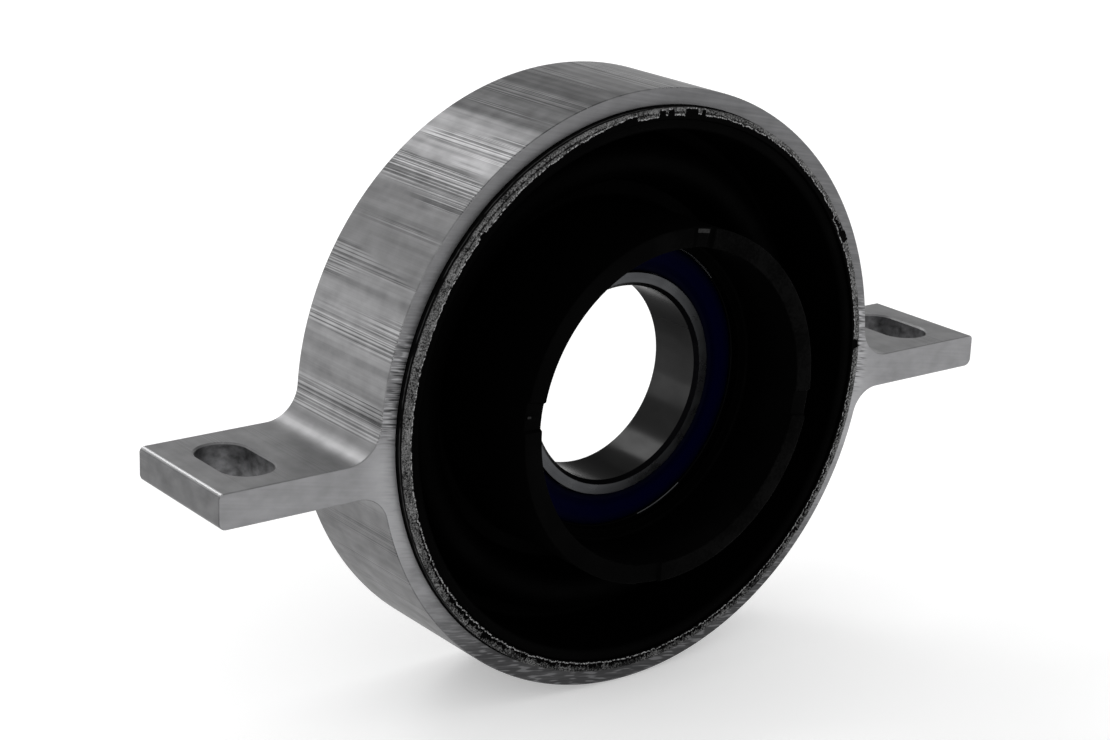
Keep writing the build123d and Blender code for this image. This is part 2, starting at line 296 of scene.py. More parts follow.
for start, end, colour in ((0.57, 0.66, "3a3a3b"), (0.44, 0.34, "b4b4b6")):
    nicks = add(tree, "ShaderNodeMapRange", {"Value": nick_noise, "From Min": start, "From Max": end})
    nicks = add(tree, "ShaderNodeMath", {0: nicks, 1: scored}, operation="MULTIPLY")
    nicked = add(tree, "ShaderNodeMix", {0: nicks, 6: nicked, 7: linear(colour)}, data_type="RGBA").outputs[2]
sawn_bump = add(tree, "ShaderNodeBump", {"Height": scores, "Distance": 0.04 * MM, "Strength": 0.3})
sawn = add(
    tree,
    "ShaderNodeBsdfPrincipled",
    {"Base Color": nicked, "Metallic": 1.0, "Roughness": 0.5, "Normal": sawn_bump},
)
add(tree, "ShaderNodeOutputMaterial", {"Surface": sawn})

# Milled aluminium: the slot walls, with blotches 1 to 2 mm across where the cutter chattered.
milled_aluminium, tree, place = start_finish("milled_aluminium")
chatter_at = add(tree, "ShaderNodeMapping", {"Vector": place, "Scale": per_mm(1.7, 1.7, 1.3)})
chatter = add(tree, "ShaderNodeTexNoise", {"Vector": chatter_at, "Scale": 1.0, "Detail": 4.0})
blotches = add(tree, "ShaderNodeMapRange", {"Value": chatter, "From Min": 0.32, "From Max": 0.7})
slot_grey = add(
    tree, "ShaderNodeMix", {0: blotches, 6: linear("484849"), 7: linear("767678")}, data_type="RGBA"
).outputs[2]
slot_bump = add(tree, "ShaderNodeBump", {"Height": chatter, "Distance": 0.1 * MM, "Strength": 0.35})
milled = add(
    tree,
    "ShaderNodeBsdfPrincipled",
    {"Base Color": slot_grey, "Metallic": 1.0, "Roughness": 0.5, "Normal": slot_bump},
)
add(tree, "ShaderNodeOutputMaterial", {"Surface": milled})


def arc(cx, cy, radius, start, end, steps):
    """Points on an arc, with both ends, from start to end in degrees."""
    turns = [math.radians(start + (end - start) * i / steps) for i in range(steps + 1)]
    return [(cx + radius * math.cos(t), cy + radius * math.sin(t)) for t in turns]


def housing_outline(inset):
    """The extrusion's outline as (x, z) points, drawn in all round by inset. The right half is mirrored."""
    side_steps, fillet_steps, corner_steps = 100, 24, 10
    top_z = ear_top_z + ear_top_fillet
    top_x = math.sqrt((ring_r + ear_top_fillet) ** 2 - top_z**2)
    under_z = ear_under_z - ear_under_fillet
    under_x = math.sqrt((ring_r + ear_under_fillet) ** 2 - under_z**2)
    top_turn = math.degrees(math.atan2(top_z, top_x))
    under_turn = math.degrees(math.atan2(under_z, under_x))
    end_x = ear_end_x - ear_top_corner
    half = arc(0, 0, ring_r - inset, 90, top_turn, side_steps)
    half += arc(top_x, top_z, ear_top_fillet + inset, 180 + top_turn, 270, fillet_steps)[1:]
    half += arc(end_x, ear_top_z - ear_top_corner, ear_top_corner - inset, 90, 0, corner_steps)
    half += arc(ear_end_x - ear_corner, ear_under_z + ear_corner, ear_corner - inset, 0, -90, corner_steps)
    half += arc(under_x, under_z, ear_under_fillet + inset, 90, 180 + under_turn, fillet_steps)
    half += arc(0, 0, ring_r - inset, under_turn, -90, side_steps)[1:]
    return half + [(-x, z) for x, z in reversed(half[1:-1])]


def mesh_object(name, shape, *materials):
    """An object from a bmesh, smooth but for its sharp corners."""
    mesh = bpy.data.meshes.new(name)
    bmesh.ops.recalc_face_normals(shape, faces=shape.faces)
    shape.to_mesh(mesh)
    shape.free()
    mesh.shade_smooth()
    mesh.set_sharp_from_angle(angle=sharp_from)
    for material in materials:
        mesh.materials.append(material)
    made = bpy.data.objects.new(name, mesh)
    scene.collection.objects.link(made)
    return made


def join_rows(shape, rows):
    """Faces between each closed row of points and the next."""
    for near, far in zip(rows, rows[1:]):
        for i in range(len(near)):
            j = (i + 1) % len(near)
            shape.faces.new((near[i], far[i], far[j], near[j]))


def slot_cutter(middle_x):
    """A round-ended prism that is wider at both mouths, so that it leaves a broken edge."""
    shape = bmesh.new()
    rows = []
    reach = slot_half_length - slot_half_width
    mouth = slot_break * 1.1
    clear, past, end_steps = 0.05, 2.0, 28
    for z, spread in (
        (ear_top_z + past, mouth),
        (ear_top_z + clear, mouth),
        (ear_top_z - slot_break, 0.0),
        (ear_under_z + slot_break, 0.0),
        (ear_under_z - clear, mouth),
        (ear_under_z - past, mouth),
    ):
        radius = slot_half_width + spread
        edge = arc(middle_x, reach, radius, 0, 180, end_steps)
        edge += arc(middle_x, -reach, radius, 180, 360, end_steps)
        rows.append([shape.verts.new((x * MM, y * MM, z * MM)) for x, y in edge])
    join_rows(shape, rows)
    shape.faces.new(rows[0])
    shape.faces.new(reversed(rows[-1]))
    return mesh_object(f"slot_cutter_{middle_x:.0f}", shape)


# The rows run from front to back. Each has its place along the axis, how far the outline is drawn in there,
# and how far the bore opens.
shape = bmesh.new()
outer_rows = []
inner_rows = []
turn = 2 * math.pi / ring_steps
for y, inset, bore_spread in (
    (ring_front_y, saw_break, bore_break),
    (ring_front_y + saw_break, 0.0, bore_break * 0.3),
    (ring_front_y + bore_break * 1.4, 0.0, 0.0),
    (ring_back_y - bore_break * 1.4, 0.0, 0.0),
    (ring_back_y - saw_break, 0.0, bore_break * 0.3),
    (ring_back_y, saw_break, bore_break),
):
    outer_rows.append([shape.verts.new((x * MM, y * MM, z * MM)) for x, z in housing_outline(inset)])
    radius = (ring_bore_r + bore_spread) * MM
    bore_row = [(radius * math.cos(turn * i), y * MM, radius * math.sin(turn * i)) for i in range(ring_steps)]
    inner_rows.append([shape.verts.new(point) for point in bore_row])
join_rows(shape, outer_rows)
join_rows(shape, inner_rows)
for outer, inner in ((outer_rows[0], inner_rows[0]), (outer_rows[-1], inner_rows[-1])):
    rim = []
    for row in (outer, inner):
        rim += [shape.edges.get((row[i], row[(i + 1) % len(row)])) for i in range(len(row))]
    bmesh.ops.triangle_fill(shape, use_beauty=True, use_dissolve=False, edges=rim)
housing = mesh_object("housing_extrusion", shape, extruded_aluminium, sawn_aluminium, milled_aluminium)
cutters = [slot_cutter(-slot_middle_x), slot_cutter(slot_middle_x)]
for cutter in cutters:
    cut = housing.modifiers.new("slot", "BOOLEAN")
    cut.operation = "DIFFERENCE"
    cut.solver = "EXACT"
    cut.object = cutter
bpy.context.view_layer.update()
cut_mesh = bpy.data.meshes.new_from_object(housing.evaluated_get(bpy.context.evaluated_depsgraph_get()))
housing.modifiers.clear()
housing.data = cut_mesh
for cutter in cutters:
    bpy.data.objects.remove(cutter)
slot_margin = 0.25
for face in housing.data.polygons:
    at = face.center / MM
    in_slot = abs(abs(at.x) - slot_middle_x) < slot_half_width + slot_margin
    in_slot = in_slot and abs(at.y) < slot_half_length + slot_margin
    if abs(face.normal.y) > 0.9 and not in_slot:
        face.material_index = 1
    elif in_slot and abs(face.normal.z) < 0.3:
        face.material_index = 2
    else:
        face.material_index = 0
housing.data.shade_smooth()
housing.data.set_sharp_from_angle(angle=sharp_from)
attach(housing, "bracket")
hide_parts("housing")

# Outer sleeve. The real piece is a rolled steel ring, pressed into the housing, that stands a little proud.
# Its side is black with the bonding coat, scored by one bright line where it was pressed. Its front edge
# was trimmed back to bare, speckled steel.
sleeve_inner_r = 48.3
sleeve_front_y = -14.35
sleeve_back_y = 12.65
sleeve_front_corner = 0.22
sleeve_lead_in = 0.6
sleeve_corner_steps = 4
sleeve_steps = 720
press_line_y = -13.5
trim_groove_r = 49.1

# Bonding coat on steel: matt black paint. The press line is bare metal about 0.2 mm wide.
coated_steel, tree, place = start_finish("black_coated_steel")
coat_at = add(tree, "ShaderNodeMapping", {"Vector": place, "Scale": per_mm(1.2, 1.2, 1.2)})
coat = add(tree, "ShaderNodeTexNoise", {"Vector": coat_at, "Scale": 1.0, "Detail": 4.0})
coat_black = add(
    tree, "ShaderNodeMix", {0: coat, 6: linear("020202"), 7: linear("0a0a0a")}, data_type="RGBA"
).outputs[2]
along = add(tree, "ShaderNodeSeparateXYZ", {0: place}).outputs["Y"]
off_line = apart(tree, along, press_line_y * MM)
on_line = add(
    tree,
    "ShaderNodeMapRange",
    {"Value": off_line, "From Min": 0.07 * MM, "From Max": 0.13 * MM, "To Min": 1.0, "To Max": 0.0},
)
break_at = add(tree, "ShaderNodeMapping", {"Vector": place, "Scale": per_mm(6, 6, 6), "Location": (4, 4, 4)})
breaks = add(tree, "ShaderNodeTexNoise", {"Vector": break_at, "Scale": 1.0, "Detail": 3.0})
breaks = add(tree, "ShaderNodeMapRange", {"Value": breaks, "From Min": 0.4, "From Max": 0.55})
bare = add(tree, "ShaderNodeMath", {0: on_line, 1: breaks}, operation="MULTIPLY")
coat_colour = add(
    tree, "ShaderNodeMix", {0: bare, 6: coat_black, 7: linear("585858")}, data_type="RGBA"
).outputs[2]
coat_bump = add(tree, "ShaderNodeBump", {"Height": coat, "Distance": 0.05 * MM, "Strength": 0.6})
painted = add(
    tree,
    "ShaderNodeBsdfPrincipled",
    {
        "Base Color": coat_colour,
        "Metallic": bare,
        "Roughness": 0.6,
        "Specular IOR Level": 0.05,
        "Normal": coat_bump,
    },
)
add(tree, "ShaderNodeOutputMaterial", {"Surface": painted})

# Trimmed steel: grains of bare metal and of black coat, each about 0.3 mm across, with a bright burr painted
# inside as the inner edge's highlight, painted shade round the foot, and a dark groove that the trimming left
# at the top.
trimmed_steel, tree, place = start_finish("trimmed_speckled_steel")
grain_at = add(tree, "ShaderNodeMapping", {"Vector": place, "Scale": per_mm(0.28, 0.28, 0.28)})
grains = add(tree, "ShaderNodeTexNoise", {"Vector": grain_at, "Scale": 1.0, "Detail": 4.0, "Roughness": 0.7})
cover_at = add(tree, "ShaderNodeMapping", {"Vector": place, "Scale": per_mm(4, 4, 4), "Location": (3, 3, 3)})
cover = add(tree, "ShaderNodeTexNoise", {"Vector": cover_at, "Scale": 1.0, "Detail": 3.0})
speckle = add(tree, "ShaderNodeMath", {0: cover, 1: 0.35, 2: -0.12}, operation="MULTIPLY_ADD")
speckle = add(tree, "ShaderNodeMath", {0: grains, 1: 0.9, 2: speckle}, operation="MULTIPLY_ADD")
speckle = add(tree, "ShaderNodeMapRange", {"Value": speckle, "From Min": 0.42, "From Max": 0.7})
radius = off_axis(tree, place)
# A painted highlight along the inner edge, drawn as a bright burr.
burr_highlight = add(
    tree,
    "ShaderNodeMapRange",
    {"Value": radius, "From Min": 48.5 * MM, "From Max": 48.75 * MM, "To Min": 0.25, "To Max": 0.0},
)
speckle = add(tree, "ShaderNodeMath", {0: speckle, 1: burr_highlight}, operation="ADD")
height = add(tree, "ShaderNodeSeparateXYZ", {0: place}).outputs["Z"]
# The foot is painted darker as shade, as on the sawn face.
foot_shade = add(
    tree, "ShaderNodeMapRange", {"Value": height, "From Min": -20 * MM, "From Max": -36 * MM, "To Max": 0.22}
)
speckle = add(tree, "ShaderNodeMath", {0: speckle, 1: foot_shade}, operation="SUBTRACT")
off_groove = apart(tree, radius, trim_groove_r * MM)
groove_dark = add(
    tree,
    "ShaderNodeMapRange",
    {"Value": off_groove, "From Min": 0.06 * MM, "From Max": 0.24 * MM, "To Min": 0.4, "To Max": 0.0},
)
at_top = add(tree, "ShaderNodeMapRange", {"Value": height, "From Min": 24 * MM, "From Max": 32 * MM})
groove_dark = add(tree, "ShaderNodeMath", {0: groove_dark, 1: at_top}, operation="MULTIPLY")
speckle = add(tree, "ShaderNodeMath", {0: speckle, 1: groove_dark}, operation="SUBTRACT")
trim_grey = add(
    tree, "ShaderNodeMix", {0: speckle, 6: linear("101010"), 7: linear("949494")}, data_type="RGBA"
).outputs[2]
trim_bump = add(tree, "ShaderNodeBump", {"Height": grains, "Distance": 0.1 * MM, "Strength": 0.8})
trimmed = add(
    tree,
    "ShaderNodeBsdfPrincipled",
    {"Base Color": trim_grey, "Metallic": 1.0, "Roughness": 0.55, "Normal": trim_bump},
)
add(tree, "ShaderNodeOutputMaterial", {"Surface": trimmed})


def turned(name, section, steps, *materials, shift=None, pick=None):
    """A closed section of (radius, y) points swept round the axis. shift moves a point of it at an angle
    clockwise from the top, and pick gives the material of the face that starts at that point."""
    shape = bmesh.new()
    rows = []
    for step in range(steps):
        angle = 2 * math.pi * step / steps
        row = []
        for index, (radius, y) in enumerate(section):
            if shift:
                radius, y = shift(index, radius, y, math.degrees(angle))
            at = (radius * MM * math.sin(angle), y * MM, radius * MM * math.cos(angle))
            row.append(shape.verts.new(at))
        rows.append(row)
    for step, near in enumerate(rows):
        far = rows[(step + 1) % steps]
        for i in range(len(section)):
            j = (i + 1) % len(section)
            face = shape.faces.new((near[i], near[j], far[j], far[i]))
            if pick:
                face.material_index = pick(i, 360 * (step + 0.5) / steps)
    return mesh_object(name, shape, *materials)


def rounded(points, radii, steps=6):
    """A closed section with its corners rounded. A radius of 0 keeps the corner."""
    out = []
    for i, radius in enumerate(radii):
        here = Vector(points[i])
        before = Vector(points[i - 1]) - here
        after = Vector(points[(i + 1) % len(points)]) - here
        if radius == 0:
            out.append(tuple(here))
            continue
        half = before.angle(after) / 2
        reach = radius / math.tan(half)
        centre = here + (before.normalized() + after.normalized()).normalized() * (radius / math.sin(half))
        start = here + before.normalized() * reach - centre
        end = here + after.normalized() * reach - centre
        sweep = start.angle_signed(end)
        for k in range(steps + 1):
            out.append(tuple(centre + Matrix.Rotation(-sweep * k / steps, 2) @ start))
    return out


def spot_at(degrees, spread):
    """A point on a circle, which gives noise a value for an angle that joins up all the way round."""
    return Vector((math.sin(math.radians(degrees)), math.cos(math.radians(degrees)), 0)) * spread


sleeve_section = rounded(
    [
        (sleeve_inner_r, sleeve_front_y),
        (ring_bore_r, sleeve_front_y),
        (ring_bore_r, sleeve_back_y - sleeve_lead_in),
        (ring_bore_r - sleeve_lead_in, sleeve_back_y),
        (sleeve_inner_r, sleeve_back_y),
    ],
    [0, sleeve_front_corner, 0, 0, 0],
    steps=sleeve_corner_steps,
)


def sleeve_wear(index, radius, y, degrees):
    """Small dents along the front edge, where the sleeve was trimmed and handled."""
    edge_width, wave, dent, rounding = 0.5, 0.09, 0.05, 0.06
    if y < sleeve_front_y + edge_width:
        spot = spot_at(degrees, 22) + Vector((0, 0, index * 0.7))
        y += wave * noise.noise(spot) + dent * noise.noise(spot * 3.1)
        if radius > ring_bore_r - edge_width:
            radius -= rounding + rounding * noise.noise(spot * 2.3)
    return radius, y


sleeve = turned(
    "sleeve_ring",
    sleeve_section,
    sleeve_steps,
    coated_steel,
    trimmed_steel,
    shift=sleeve_wear,
    pick=lambda i, degrees: 1 if i <= sleeve_corner_steps else 0,
)
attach(sleeve, "bracket")
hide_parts("outer_sleeve")

# Rubber cushion. The real piece is one moulding in hard black natural rubber, bonded inside the sleeve.
# A folded web carries the hub, and the hub runs forward as a long collar. Flash from the mould creeps over
# the sleeve's front edge with a torn outline, and four torn gates mark the collar's lip.
rim_r = 46.0
rim_front_y = -14.05
rim_back_y = 11.65
hub_r = 31.2
carrier_r = 28.7
web_half = 1.4
web_bend_r = 1.9
crest_r = 38.9
crest_y = -4.15
valley_y = 3.65
groove_y = 4.05
web_lean = math.tan(math.radians(12))
collar_front_y = -21.8
collar_inner_r = 27.8
hub_back_y = 7.65
carrier_front_y = -7.8
carrier_lip_r = 25.9
bearing_front_y = -6.6
carrier_bend_r = 1.7
lip_skin_r = 25.8
lip_skin_depth = 0.7
lip_gap = 0.02
gate_inner_r = 30.3
cushion_steps = 540

# Moulded natural rubber: deep matt black with a faint bloom, which shows its form only where light grazes it.
# The right half of the collar's lip is scuffed a little paler, in patches.
black_rubber, tree, place = start_finish("black_moulded_rubber")
skin_at = add(tree, "ShaderNodeMapping", {"Vector": place, "Scale": per_mm(0.4, 0.4, 0.4)})
skin = add(tree, "ShaderNodeTexNoise", {"Vector": skin_at, "Scale": 1.0, "Detail": 4.0})
bloom_at = add(tree, "ShaderNodeMapping", {"Vector": place, "Scale": per_mm(8, 8, 8), "Location": (6, 2, 1)})
bloom = add(tree, "ShaderNodeTexNoise", {"Vector": bloom_at, "Scale": 1.0, "Detail": 4.0})
rubber_black = add(
    tree, "ShaderNodeMix", {0: bloom, 6: linear("010101"), 7: linear("020202")}, data_type="RGBA"
).outputs[2]
rubber_gloss = add(
    tree,
    "ShaderNodeMapRange",
    {"Value": bloom, "From Min": 0.35, "From Max": 0.65, "To Min": 0.62, "To Max": 0.5},
)
at_x, at_y, at_z = add(tree, "ShaderNodeSeparateXYZ", {0: place}).outputs
at_lip = add(
    tree, "ShaderNodeMapRange", {"Value": at_y, "From Min": -21.6 * MM, "From Max": -21.7 * MM, "To Max": 0.4}
)
patches = add(tree, "ShaderNodeMath", {0: bloom, 1: skin}, operation="ADD")
patches = add(tree, "ShaderNodeMapRange", {"Value": patches, "From Min": 0.94, "From Max": 1.14})
at_right = add(
    tree, "ShaderNodeMapRange", {"Value": at_x, "From Min": -10 * MM, "From Max": 16 * MM, "To Min": 0.1}
)
scuffed = add(tree, "ShaderNodeMath", {0: at_lip, 1: patches}, operation="MULTIPLY")
scuffed = add(tree, "ShaderNodeMath", {0: scuffed, 1: at_right}, operation="MULTIPLY")
lip_black = add(
    tree, "ShaderNodeMix", {0: scuffed, 6: rubber_black, 7: linear("0f0f0f")}, data_type="RGBA"
).outputs[2]
rubber_bump = add(tree, "ShaderNodeBump", {"Height": skin, "Distance": 0.03 * MM, "Strength": 0.5})
rubber = add(
    tree,
    "ShaderNodeBsdfPrincipled",
    {"Base Color": lip_black, "Roughness": rubber_gloss, "Specular IOR Level": 0.012, "Normal": rubber_bump},
)
add(tree, "ShaderNodeOutputMaterial", {"Surface": rubber})

# Torn rubber: rough and paler, where a gate was pulled off.
torn_rubber, tree, place = start_finish("torn_rubber")
tear_at = add(tree, "ShaderNodeMapping", {"Vector": place, "Scale": per_mm(0.5, 0.5, 0.5)})
tear = add(tree, "ShaderNodeTexNoise", {"Vector": tear_at, "Scale": 1.0, "Detail": 3.0})
tear_grey = add(
    tree, "ShaderNodeMix", {0: tear, 6: linear("0e0e0e"), 7: linear("3a3a3a")}, data_type="RGBA"
).outputs[2]
tear_bump = add(tree, "ShaderNodeBump", {"Height": tear, "Distance": 0.1 * MM, "Strength": 0.8})
torn = add(
    tree,
    "ShaderNodeBsdfPrincipled",
    {"Base Color": tear_grey, "Roughness": 0.9, "Specular IOR Level": 0.1, "Normal": tear_bump},
)
add(tree, "ShaderNodeOutputMaterial", {"Surface": torn})

# Frayed rubber: the flash's torn edge, thin and pale, in specks about 0.4 mm long.
frayed_rubber, tree, place = start_finish("frayed_rubber")
fray_at = add(
    tree, "ShaderNodeMapping", {"Vector": place, "Scale": per_mm(0.4, 0.4, 0.4), "Location": (5, 1, 9)}
)
fray = add(tree, "ShaderNodeTexNoise", {"Vector": fray_at, "Scale": 1.0, "Detail": 2.0})
fray = add(tree, "ShaderNodeMapRange", {"Value": fray, "From Min": 0.4, "From Max": 0.6})
fray_grey = add(
    tree, "ShaderNodeMix", {0: fray, 6: linear("1c1c1c"), 7: linear("a4a4a4")}, data_type="RGBA"
).outputs[2]
frayed = add(
    tree, "ShaderNodeBsdfPrincipled", {"Base Color": fray_grey, "Roughness": 0.9, "Specular IOR Level": 0.1}
)
add(tree, "ShaderNodeOutputMaterial", {"Surface": frayed})


def folded_line():
    """The web's middle line from the rim to the hub, as points with their unit normals towards the back."""
    crest_half, bend_steps = 0.1, 10
    reach = web_bend_r * math.tan(math.radians(39))
    outer = crest_r + crest_half + reach
    inner = crest_r - crest_half - reach
    corners = [
        Vector((rim_r, valley_y)),
        Vector((outer + (valley_y - crest_y) * web_lean, valley_y)),
        Vector((outer, crest_y)),
        Vector((inner, crest_y)),
        Vector((inner - (groove_y - crest_y) * web_lean, groove_y)),
        Vector((hub_r, groove_y)),
    ]
    line = [(corners[0], Vector((0, 1)))]
    for last, here, following in zip(corners, corners[1:], corners[2:]):
        before = (here - last).normalized()
        bend = before.angle_signed((following - here).normalized())
        start = here - before * web_bend_r * math.tan(abs(bend) / 2)
        centre = start - Vector((before.y, -before.x)) * math.copysign(web_bend_r, -bend)
        for k in range(bend_steps + 1):
            spin = Matrix.Rotation(-bend * k / bend_steps, 2)
            along = spin @ before
            line.append((centre + spin @ (start - centre), Vector((along.y, -along.x))))
    return line + [(corners[-1], Vector((0, 1)))]


web = folded_line()
web_front = [tuple(point - normal * web_half) for point, normal in web]
web_rear = [tuple(point + normal * web_half) for point, normal in web]
cushion_corners = (
    [(sleeve_inner_r, rim_front_y), (rim_r, rim_front_y)]
    + web_front
    + [
        (hub_r, collar_front_y),
        (gate_inner_r, collar_front_y),
        (collar_inner_r, collar_front_y),
        (collar_inner_r, carrier_front_y - lip_skin_depth),
        (lip_skin_r, carrier_front_y - lip_skin_depth),
        (lip_skin_r, bearing_front_y),
        (carrier_lip_r + lip_gap, bearing_front_y),
        (carrier_lip_r + lip_gap, carrier_front_y),
        (carrier_r - carrier_bend_r, carrier_front_y),
        (carrier_r, carrier_front_y + carrier_bend_r),
        (carrier_r, hub_back_y),
        (hub_r, hub_back_y),
    ]
    + web_rear[::-1]
    + [(rim_r, rim_back_y), (sleeve_inner_r, rim_back_y)]
)
web_radii = [1.0, *[0] * (len(web_front) - 2), 1.0]
front_radii = [0, 1.0, *web_radii, 0.2, 0, 0.2, 0.6, 0.08, 0, 0, 0, 0, 0, 0, 0.9]
cushion_section = rounded(cushion_corners, [*front_radii, *web_radii, 1.0, 0])

# The gates, by degrees clockwise from the top, each with half the width in degrees of the stub torn off it.
# Each lies in a notch of the lip, and two have no stub left.
gates = ((8.5, 2.6), (98, 0), (187, 0), (277, 0.6))
notch_half = 4.4
notch_depth = 0.5
stub_depth = 0.15

# How much of the carrier's edge the rubber leaves bare, in mm, by degrees clockwise from the top.
bare_edge = (
    (0, 0.0), (22, 0.0), (30, 0.8), (42, 0.7), (52, 0.2), (64, 0.3), (76, 0.2), (84, 0.0), (141, 0.0),
    (145, 0.33), (166, 0.33), (172, 0.1), (176, 0.0), (360, 0.0),
)


def by_angle(table, degrees):
    """The value of a table of (degrees, value) at this angle, in a straight line between its entries."""
    for (start, low), (end, high) in zip(table, table[1:]):
        if start <= degrees <= end:
            return low + (high - low) * (degrees - start) / (end - start)


def on_stub(degrees):
    """True on the torn stub of a gate."""
    return any(abs(degrees - middle) < half for middle, half in gates)


def moulded(index, radius, y, degrees):
    """The slight unevenness of the moulding, the gates' notches and torn stubs in the collar's lip, and the
    skin over the carrier's edge, drawn back where it leaves that edge bare."""
    wave, wave_scale, tear = 0.05, 0.12, 0.08
    off_carrier, behind_lip, lip_depth = 0.05, 1, 0.4
    if radius > carrier_r + off_carrier and y > collar_front_y + behind_lip:
        y += wave * noise.noise(spot_at(degrees, radius * wave_scale) + Vector((0, 0, y * wave_scale)))
    in_notch = any(abs(degrees - middle) < notch_half for middle, half in gates)
    if y < collar_front_y + lip_depth and in_notch:
        raised = index in (gate_strip, gate_strip + 1) and on_stub(degrees)
        y += stub_depth + tear * noise.noise(spot_at(degrees, 60)) if raised else notch_depth
    if index in (lip_skin_end, lip_skin_end + 1):
        y -= by_angle(bare_edge, degrees)
    return radius, y


# Where the section reaches the gates' strip of the lip, and the end of the skin over the carrier's edge.
gate_strip = next(i for i, (radius, y) in enumerate(cushion_section) if abs(radius - gate_inner_r) < 0.01) - 1
lip_skin_end = next(i for i, (radius, y) in enumerate(cushion_section) if abs(y - bearing_front_y) < 0.001)
cushion = turned(
    "rubber_cushion_moulding",
    cushion_section,
    cushion_steps,
    black_rubber,
    torn_rubber,
    shift=moulded,
    pick=lambda i, degrees: 1 if i == gate_strip and on_stub(degrees) else 0,
)

# How far the flash covers the sleeve's 1.7 mm edge, and how far inside its own edge the pale fray lies, both
# in mm by degrees clockwise from the top. Each tear is its angle, half its width in degrees, and how far it
# sticks out.
flash_steps = 1800
flash_skin = 0.07
flash_least = 0.02
flash_most = 1.68
flash_root = 0.5
flash_clear = 0.01
fray_width = 0.22
fray_at_edge = 0.1
flash_cover = (
    (0, 1.5), (1.0, 1.5), (1.1, 0.6), (1.6, 0.6), (1.7, 1.5), (3.2, 1.5), (3.3, 0.45), (6.0, 0.45),
    (6.1, 1.7), (9.2, 1.7), (9.4, 0.8), (10.2, 0.8), (10.3, 1.7), (11.3, 1.7), (11.4, 0.6), (14, 0.75),
    (40, 0.85), (57, 0.8), (57.4, 0.9), (63.5, 1.3), (64.2, 0.45), (85, 0.45), (92, 0.5), (110, 0.6),
    (150, 0.6), (200, 0.65), (222, 0.7), (238, 0.6), (262, 0.12), (320, 0.1), (335, 0.35), (346, 0.75),
    (351, 1.1), (354, 1.3), (354.2, 0.4), (359.4, 0.4), (359.5, 1.5), (360, 1.5),
)
fray_inset = (
    (0, 0.0), (57, 0.0), (57.4, 0.45), (63.6, 1.0), (64.0, 0.0), (88, 0.05), (104, 0.3), (130, 0.45),
    (180, 0.5), (225, 0.5), (242, 0.25), (262, 0.0), (360, 0.0),
)
flash_tears = ((62.8, 1.2, 1.0), (87.9, 1.0, 1.0), (131, 0.7, 0.4), (222, 0.6, 0.6), (313, 0.8, 0.5))


def flash_reach(degrees):
    """How far the torn flash reaches out over the sleeve's edge, in mm."""
    wave, least_rough, fray_rough = 0.15, 0.12, 1.4
    reach = by_angle(flash_cover, degrees)
    reach += wave * noise.noise(spot_at(degrees, 20)) + wave * noise.noise(spot_at(degrees, 55))
    rough = least_rough + fray_rough * by_angle(fray_inset, degrees)
    reach += rough * (noise.noise(spot_at(degrees, 130)) + 0.6 * noise.noise(spot_at(degrees, 300)))
    for middle, half, more in flash_tears:
        if abs(degrees - middle) < half:
            reach += more
    return min(max(reach, flash_least), flash_most)


# The outer edge and the fray are moved to their reach at each angle, so their radii here only hold a place.
# The flash thickens by a few hundredths of a millimetre from its edge to its root on the cushion's rim.
flash_edge = (2, 3)
flash_fray = (4, 5)
flash_section = [
    (sleeve_inner_r - flash_root, rim_front_y + 0.1),
    (sleeve_inner_r, sleeve_front_y - flash_clear),
    (sleeve_inner_r + 0.5, sleeve_front_y - flash_clear),
    (sleeve_inner_r + 0.5, sleeve_front_y - flash_clear - flash_skin),
    (sleeve_inner_r + 0.5, sleeve_front_y - 0.03 - flash_skin),
    (sleeve_inner_r + 0.5 - fray_width, sleeve_front_y - 0.05 - flash_skin),
    (sleeve_inner_r - flash_root / 2, sleeve_front_y - 0.06 - flash_skin),
    (sleeve_inner_r - flash_root, rim_front_y),
]


def torn_edge(index, radius, y, degrees):
    """The flash's outer edge, torn to the reach that it has at this angle, and the fray inside it."""
    rag, least_width, edge_width = 0.25, 0.05, 0.01
    if index in flash_edge:
        radius = sleeve_inner_r + flash_reach(degrees)
    elif index in flash_fray:
        reach = flash_reach(degrees)
        inset = by_angle(fray_inset, degrees)
        if inset < fray_at_edge:
            fray = max(reach - inset, fray_width - least_width)
        else:
            fray = by_angle(flash_cover, degrees) - inset
        ragged = rag * noise.noise(spot_at(degrees, 75)) + rag * noise.noise(spot_at(degrees, 190))
        fray += ragged * min(inset * 4, 1)
        back_off = fray_width if index == flash_fray[1] else edge_width
        radius = sleeve_inner_r + min(max(fray, flash_least), reach) - back_off
    return radius, y


def frayed_face(index, degrees):
    """1, frayed rubber, on the fray, and on the flash's outer edge where the fray lies there. Else 0."""
    at_edge = by_angle(fray_inset, degrees) < fray_at_edge
    return int(index == flash_fray[0] or (index == flash_edge[0] and at_edge))


flash = turned(
    "rubber_flash",
    flash_section,
    flash_steps,
    black_rubber,
    frayed_rubber,
    shift=torn_edge,
    pick=frayed_face,
)
for piece in (cushion, flash):
    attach(piece, "bracket")
    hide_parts("rubber_cushion")

# Bearing carrier. The real piece is a cup of pressed steel, 1.2 mm thick, bonded into the hub.
# Its front edge is turned in to hold the bearing, and only that edge and the tail stay bare.
carrier_back_y = 7.2
race_r = 27.5
bearing_back_y = 5.4

